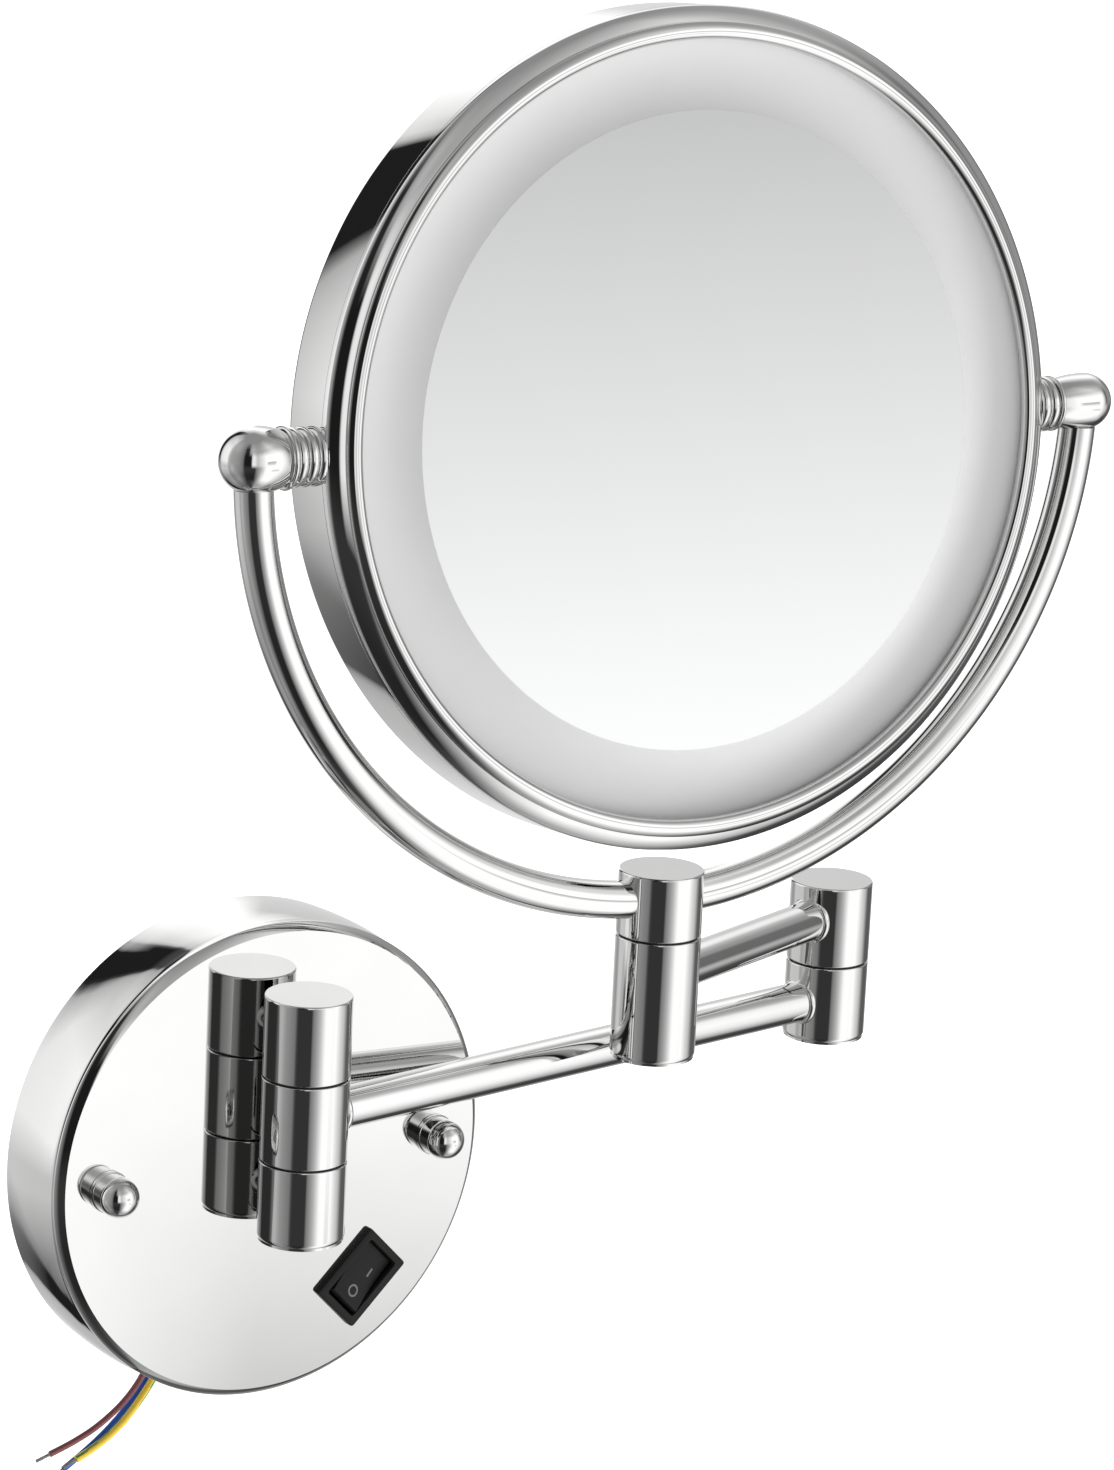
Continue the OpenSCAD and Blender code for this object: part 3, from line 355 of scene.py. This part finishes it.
routes = {
    "live": (0.0016, [
        (-9.6, 0, -41), (-9.6, 2, -41), (-9.6, 5.2, -41.9), (-9.7, 7.5, -44.2), (-10, 8.4, -47.4),
        (-11, 8.4, -52.6), (-13, 8.3, -58.2), (-16, 8.2, -63.6), (-19.4, 8.2, -68), (-23.6, 8.2, -71.7),
        (-29.2, 8.2, -75.2), (-35.4, 8.2, -77.8), (-42, 8.2, -79.8)]),
    "neutral": (0.0016, [
        (-8, 0, -43.9), (-8, 3, -43.9), (-8, 7, -44.9), (-8.1, 9.8, -47.8), (-8.5, 10.9, -51.8),
        (-9.6, 11, -56.4), (-11.2, 10.9, -61.2), (-13.4, 10.8, -66.2), (-16.8, 10.8, -70.6),
        (-21, 10.8, -74.8), (-26, 10.8, -79), (-31.6, 10.8, -82.8), (-36.6, 10.8, -85.8)]),
    "earth": (0.0019, [
        (-6.4, 0, -41), (-6.4, 2, -41), (-6.2, 5.8, -42), (-6, 8.6, -44.8), (-6, 9.6, -48.6),
        (-6.8, 9.4, -53), (-8.8, 8.8, -58.4), (-12, 8.5, -64.2), (-16.2, 8.5, -70), (-20.8, 8.5, -75),
        (-25.6, 8.5, -78.6), (-30, 8.5, -81), (-34.3, 8.5, -82.8)]),
}
blue = finish("blue_insulation", (0.006, 0.07, 0.36), (0.01, 0.1, 0.48), 0.25, 0.4, 200.0, 5000.0, 0.2)
yellow = finish("yellow_insulation", (0.66, 0.45, 0.03), (0.8, 0.58, 0.06), 0.25, 0.4, 200.0, 5000.0, 0.2)
green = finish("green_insulation", (0.05, 0.22, 0.03), (0.08, 0.3, 0.05), 0.25, 0.4, 200.0, 5000.0, 0.2)
tinned = finish("tinned_strands", (0.22, 0.21, 0.2), (0.45, 0.43, 0.41), 0.25, 0.4, 500.0, 9000.0, 0.2,
                Metallic=1.0)
bare_length, tuck, strand_radius, strand_reach = 0.0045, 0.0005, 0.000155, 0.00029
for name, skins, slot in (("live", [brown], "lead_brown"), ("neutral", [blue], "lead_blue"),
                          ("earth", [yellow, green], "lead_green_yellow")):
    width, points = routes[name]
    route, sides = smooth_route(points), 20
    corners, faces = [], []
    tube_along(route, width / 2, sides, corners, faces)
    lead = solid(name + "_insulation", corners, faces, *skins)
    smooth(lead)
    if name == "earth":
        for k, face in enumerate(lead.data.polygons):
            face.material_index = int((k + k // (sides * 3)) % sides in (2, 3, 12, 13))
    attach(lead, "wall_plate")
    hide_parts(name + "_lead")
    end = (route[-1] - route[-2]).normalized()
    aside = end.cross(Vector((0, 1, 0))).normalized()
    over = end.cross(aside)
    corners, faces = [], []
    for strand in range(7):
        reach = 0.0 if strand == 0 else strand_reach
        line = []
        for k in range(11):
            twist = strand * math.pi / 3 + k * 0.25
            line.append(route[-1] + end * (bare_length * k / 10 - tuck)
                        + reach * (math.cos(twist) * aside + math.sin(twist) * over))
        tube_along(line, strand_radius, 8, corners, faces)
    tip = solid(name + "_strands", corners, faces, tinned)
    smooth(tip)
    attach(tip, "wall_plate")
    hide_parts("lead_tips")

# Swing arm: two lengths of drawn steel tube brazed into knuckles cut from thick tube, all chromed together.
# Sintered bronze bushes turn on ground pins.
coat(barrel_chrome, "wall_knuckle", "elbow_knuckle_lower", "elbow_knuckle_upper", "yoke_knuckle", "yoke_hub")
tube_chrome = finish("tube_chrome", chrome_dark, chrome_light, 0.015, 0.04, 80.0, 3000.0, 0.01, Metallic=1.0)
coat(tube_chrome, "lower_arm_tube", "upper_arm_tube")
bronze = finish("sintered_bronze", (0.34, 0.22, 0.09), (0.52, 0.36, 0.17), 0.35, 0.55, 600.0, 9000.0, 0.6,
                Metallic=1.0)
coat(bronze, "wall_bush", "elbow_bush", "yoke_bush")

# Knobs and collars: turned from brass bar, polished and chromed, over the tilt screws.
# The left knob is fuller than the right; both swell from a neck with a beaded flange.
coat(turned_chrome, "left_collar", "right_collar")
head_middle = Vector((0.099986, -0.041134, 0.1778))
yoke_turn, head_lean = math.radians(-3.8), math.radians(5.5)
head_side = Vector((math.cos(yoke_turn), math.sin(yoke_turn), 0))
upward = Vector((0, 0, 1))
head_front = head_side.cross(upward) * math.cos(head_lean) + upward * math.sin(head_lean)
knob_offset = 0.119


def swelling(full, neck, foot, flange, rise):
    drop = rise + foot
    stretch = drop / math.sqrt(1 - (neck / full) ** 2)
    body = [(full * math.sqrt(1 - (drop * k / 20 / stretch) ** 2), rise - drop * k / 20) for k in range(21)]
    ball = [(full * math.sin(math.radians(4.5 * k)), rise + full * math.cos(math.radians(4.5 * k)))
            for k in range(1, 20)]
    bead = 0.6
    return ([(0.05, rise + full)] + ball + body + [(flange - bead, -foot)]
            + arc((flange - bead, -foot - bead), bead, 0, 180, 10)[1:]
            + [(4.2, -foot - 2 * bead), (4.2, -foot + 1), (0.05, -foot + 1)])


for name, node, end, shape in (("left_ball", "left_knob", -1, swelling(8.2, 6.6, 7.4, 7.7, 0)),
                               ("right_egg", "right_finial", 1, swelling(7.25, 5.95, 9, 7.1, 1))):
    knob = turned(name, head_middle + end * knob_offset * head_side, end * head_side, shape, turned_chrome,
                  sides=120)
    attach(knob, "yoke")
    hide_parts(node)

# Yoke: one steel tube bent to a half circle, buffed and chromed, centred on the middle of the mirror head.
# It is made as two quarters, which meet in the hub and end inside the knobs.
yoke_bend, yoke_radius, yoke_steps, yoke_sides = 0.1187, 0.0048, 84, 48
across = upward.cross(head_side)
for node, first_angle, last_angle in (("yoke_tube_right", 3, 87), ("yoke_tube_left", 93, 177)):
    corners = []
    for step in range(yoke_steps + 1):
        bend = math.radians(first_angle + (last_angle - first_angle) * step / yoke_steps)
        out = math.cos(bend) * head_side - Vector((0, 0, math.sin(bend)))
        for side in range(yoke_sides):
            spin = math.tau * side / yoke_sides
            corners.append(head_middle + out * (yoke_bend + yoke_radius * math.cos(spin))
                           + across * yoke_radius * math.sin(spin))
    faces = between_rings(yoke_steps + 1, yoke_sides)
    faces += [tuple(range(yoke_sides))[::-1],
              tuple(range(yoke_steps * yoke_sides, (yoke_steps + 1) * yoke_sides))]
    tube = solid(node.replace("yoke_tube", "yoke_bow"), corners, faces, tube_chrome)
    smooth(tube)
    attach(tube, "yoke")
    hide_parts(node)

# Mirror head: a drum pressed from sheet, closed by a rolled rim with a bead over the edge of the glass.
# Both are buffed and chromed, and all of it turns on the tilt axis.
def turned_on_head(name, outline, *materials):
    piece = turned(name, head_middle, head_front, outline, *materials, sides=360)
    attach(piece, "head")
    return piece


rim_chrome = finish("rim_chrome", chrome_dark, chrome_light, 0.015, 0.03, 50.0, 2500.0, 0.005, Metallic=1.0)
rim = turned_on_head(
    "rolled_rim", [(96.85, 3.8), (102.9, 3.8), (103, 3.9)] + arc((101.6, 5.2), 1.4, 90, 44, 8)
    + arc((94.931, -1.706), 11, 44, 31, 8)[1:] + arc((93.644, -3.849), 13.5, 31, 24, 8)[1:]
    + arc((98.712, 9.173), 0.4, 90, 46, 6) + arc((95.043, 5.631), 5.5, 46, 30, 8)[1:]
    + arc((96.793, 8.662), 2, 30, -131, 30)[1:] + [(96.85, 7.35)], rim_chrome)
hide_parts("front_rim")
drum = turned_on_head(
    "pressed_drum", [(103, 3.72), (103, -11.2)] + arc((100.8, -11.2), 2.2, 90, 180, 12)[1:]
    + [(60, -13.4), (20, -13.4), (0.02, -13.4), (0.02, -12.6), (60, -12.6), (100.8, -12.6)]
    + arc((100.8, -11.2), 1.4, 180, 90, 6)[1:] + [(102.2, 3.72)], rim_chrome)
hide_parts("head_drum")

# Mirror and light ring: a float glass disc, silvered behind, in the middle of an etched ring.
# The ring is lightly dished, so its shade changes from edge to edge.
silver = finish("silvered_glass", (0.925, 0.935, 0.93), (0.935, 0.942, 0.94), 0.0, 0.004, 20.0, 1000.0,
                Metallic=1.0)
coat(silver, "mirror_glass")
etched = finish("etched_glass", (0.54, 0.54, 0.54), (0.57, 0.57, 0.57), 0.4, 0.5, 60.0, 9000.0, 0.05)
ring_edge, ring_width, ring_top, ring_dip = 96.8, 18.9, 7.31, 1.9
ring = turned_on_head(
    "etched_ring", [(78.05, 4.3), (ring_edge, 4.3)]
    + [(ring_edge - ring_width * k / 24, ring_top - ring_dip * (1 - (k / 12 - 1) ** 2))
       for k in range(25)], etched)
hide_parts("light_ring")

# Inside the head: a pressed aluminium tray on studs carries the ring-shaped lamp board and its lamps.
# All of it is hidden by the drum and the glass.
tray = finish("pressed_aluminium", (0.6, 0.61, 0.62), (0.74, 0.75, 0.76), 0.32, 0.5, 100.0, 4000.0, 0.3,
              Metallic=1.0)
coat(tray, "core_plate")
board = finish("lamp_board", (0.72, 0.72, 0.72), (0.8, 0.8, 0.8), 0.35, 0.5, 150.0, 6000.0, 0.3)
coat(board, "led_ring")
phosphor = finish("lamp_phosphor", (0.75, 0.55, 0.1), (0.85, 0.68, 0.18), 0.3, 0.45, 800.0, 9000.0, 0.3)
coat(phosphor, "leds")

# Room: a plain pale floor, and a studio that chrome sees as bright walls with dark gaps between them.
# Each band is the light at one height, by the degrees round from the object's left side and back to it.
floor_height, floor_reach = -0.6, 30
floor = solid("floor", [(x * floor_reach, y * floor_reach, floor_height)
                        for x, y in ((-1, -1), (1, -1), (1, 1), (-1, 1))], [(0, 1, 2, 3)],
              finish("pale_floor", (0.9, 0.9, 0.9), (0.92, 0.92, 0.92), 0.8, 0.9, 2.0, 40.0,
                     Emission_Color=(1, 1, 1, 1), Emission_Strength=1.0))
floor.visible_glossy = False

studio = bpy.data.worlds.new("studio")
bpy.context.scene.world = studio
studio.use_nodes = True
sky = studio.node_tree
axes = place(sky, "ShaderNodeSeparateXYZ", {0: place(sky, "ShaderNodeTexCoord").outputs["Generated"]})
turn = place(sky, "ShaderNodeMath", {0: axes.outputs["Y"], 1: axes.outputs["X"]},
             operation="ARCTAN2").outputs[0]
rise = place(sky, "ShaderNodeMath", {0: axes.outputs["Z"]}, operation="ARCSINE").outputs[0]


def ramp(source, limit, stops):
    share = place(sky, "ShaderNodeMapRange", {"Value": source, "From Min": -math.radians(limit),
                                              "From Max": math.radians(limit)}).outputs[0]
    made = place(sky, "ShaderNodeValToRGB", {"Fac": share})
    points = made.color_ramp.elements
    points.remove(points[1])
    for k, (at, value) in enumerate(stops):
        spot = points[0] if k == 0 else points.new((at + limit) / limit / 2)
        spot.position = (at + limit) / limit / 2
        spot.color = (value, value, value, 1)
    return made.outputs["Color"]


def blend(share, first, second, kind="MIX"):
    return place(sky, "ShaderNodeMix", {0: share, 6: first, 7: second}, data_type="RGBA",
                 blend_type=kind).outputs[2]


band_above = ramp(turn, 180, [
    (-180, 0.34), (-160, 0.2), (-152, 0.12), (-148, 0.02), (-136, 0.02), (-131, 0.3), (-120, 0.42),
    (-106, 0.34), (-90, 0.34), (-70, 0.46), (-50, 0.64), (-38, 0.46), (-20, 0.32), (-4, 0.32), (14, 0.5),
    (26, 0.85), (36, 0.97), (68, 0.98), (76, 0.85), (84, 0.6), (86, 0.012), (102.5, 0.012), (104.5, 0.4),
    (110, 0.5), (118, 0.58), (132, 0.68), (146, 0.68), (152, 0.42), (165, 0.36), (180, 0.34)])
band_middle = ramp(turn, 180, [
    (-180, 0.29), (-166, 0.24), (-155, 0.16), (-148, 0.01), (-126, 0.01), (-122, 0.75), (-115, 0.8),
    (-105, 0.5), (-82, 0.84), (-75, 0.98), (-44, 1.02), (-35, 0.8), (-27, 0.45), (-20, 0.13), (-13, 0.14),
    (-8, 0.26), (10, 0.26), (19, 0.12), (30, 0.3), (37, 0.53), (56, 0.56), (60, 1.0), (76, 0.99), (88, 0.66),
    (90, 0.012), (104.5, 0.012), (107, 0.42), (117, 0.78), (145, 0.88), (153, 0.44), (162, 0.33),
    (180, 0.29)])
band_low = ramp(turn, 180, [
    (-180, 0.27), (-166, 0.21), (-156, 0.17), (-150, 0.05), (-146, 0.03), (-113, 0.03), (-109, 0.17),
    (-100, 0.29), (-92, 0.43), (-84, 0.66), (-76, 0.94), (-70, 0.98), (-44, 0.98), (-36, 0.8), (-28, 0.64),
    (-18, 0.5), (-10, 0.28), (-2, 0.1), (22, 0.09), (40, 0.4), (57, 0.6), (68, 0.62), (82, 0.42), (90, 0.3),
    (103, 0.28), (108, 0.4), (114, 0.54), (125, 0.52), (146, 0.52), (153, 0.32), (166, 0.42), (180, 0.27)])
band_below = ramp(turn, 180, [
    (-180, 0.27), (-160, 0.12), (-148, 0.02), (-116, 0.015), (-108, 0.14), (-98, 0.35), (-86, 0.72),
    (-76, 0.96), (-48, 0.97), (-36, 0.68), (-22, 0.4), (-12, 0.09), (-4, 0.05), (22, 0.04), (44, 0.35),
    (58, 0.5), (72, 0.42), (84, 0.42), (88, 0.34), (90, 0.012), (105, 0.012), (108, 0.14), (114, 0.19),
    (128, 0.28), (145, 0.3), (155, 0.2), (180, 0.27)])
band_nadir = ramp(turn, 180, [
    (-180, 0.12), (-160, 0.05), (-135, 0.04), (-116, 0.1), (-100, 0.28), (-60, 0.38), (-32, 0.4), (-10, 0.3),
    (4, 0.12), (20, 0.08), (60, 0.14), (90, 0.04), (112, 0.15), (180, 0.12)])
glow = band_middle
for share, band in (([(-90, 0), (22, 0), (37, 1), (90, 1)], band_above),
                    ([(-90, 0), (46, 0), (70, 1), (90, 1)], (0.24, 0.24, 0.24, 1)),
                    ([(-90, 1), (-15, 1), (-4, 0), (90, 0)], band_low),
                    ([(-90, 1), (-38, 1), (-21, 0), (90, 0)], band_below),
                    ([(-90, 1), (-72, 1), (-52, 0), (90, 0)], band_nadir)):
    glow = blend(ramp(rise, 90, share), glow, band)


# A grey card at the front right darkens the top of the mirror.
# A lower one beside it darkens the foot of the cover.
def card(first, last, edge, *stops):
    where = ramp(turn, 180, [(-180, 0), (first - edge, 0), (first, 1), (last, 1), (last + edge, 0), (180, 0)])
    return blend(where, (1, 1, 1, 1), ramp(rise, 90, [(-90, 1), *stops, (90, 1)]))


mirror_card = card(-71, -56, 3, (-8, 1), (-5.6, 0.78), (-4.5, 0.74), (-2.5, 0.63),
                   (1.5, 0.435), (2.5, 0.435), (5, 1))
cover_card = card(-58, -47, 2, (-26, 1), (-22, 0.58), (-20.5, 0.76), (-18.6, 0.96), (-16, 1))
for shade in (mirror_card, cover_card):
    glow = blend(1.0, glow, shade, "MULTIPLY")
studio_gain = 1.38
gain = place(sky, "ShaderNodeVectorMath", {0: glow, "Scale": studio_gain}, operation="SCALE").outputs[0]
seen = place(sky, "ShaderNodeLightPath").outputs["Is Camera Ray"]
sky.links.new(blend(seen, gain, (1, 1, 1, 1)), sky.nodes["Background"].inputs["Color"])

key = bpy.data.objects.new("soft_light", bpy.data.lights.new("soft_light", "AREA"))
bpy.context.scene.collection.objects.link(key)
key.data.size, key.data.energy = 0.5, 13
key_bearing, key_distance = math.radians(-29), 1.5
aim = Vector((math.cos(key_bearing), math.sin(key_bearing), -0.42))
key.location = head_middle + aim.normalized() * key_distance
key.rotation_mode = "QUATERNION"
key.rotation_quaternion = aim.to_track_quat("Z", "Y")
key.visible_glossy = key.visible_camera = False
bpy.context.scene.view_settings.view_transform = "Standard"

# Camera: a long lens from the left front, a little above the mirror.
# It is turned to its bearing, tipped down by its fall, and rolled by its lean.
eye = Vector((-0.660823, -1.063499, 0.430519))
bearing, fall, lean = math.radians(-35.628), math.radians(13.967), math.radians(2.863)
ahead = Vector((-math.sin(bearing) * math.cos(fall), math.cos(bearing) * math.cos(fall), -math.sin(fall)))
side = Vector((math.cos(bearing), math.sin(bearing), 0))
over = side.cross(ahead)
side, over = math.cos(lean) * side + math.sin(lean) * over, math.cos(lean) * over - math.sin(lean) * side
camera = bpy.data.objects.new("camera", bpy.data.cameras.new("camera"))
bpy.context.scene.collection.objects.link(camera)
camera.matrix_world = Matrix.Translation(eye) @ Matrix((side, over, -ahead)).transposed().to_4x4()
camera.data.sensor_width, camera.data.lens = 36, 130.41
camera.data.shift_x, camera.data.shift_y = -0.0151, -0.0374
camera.data.clip_start, camera.data.clip_end = 0.05, 100
bpy.context.scene.camera = camera
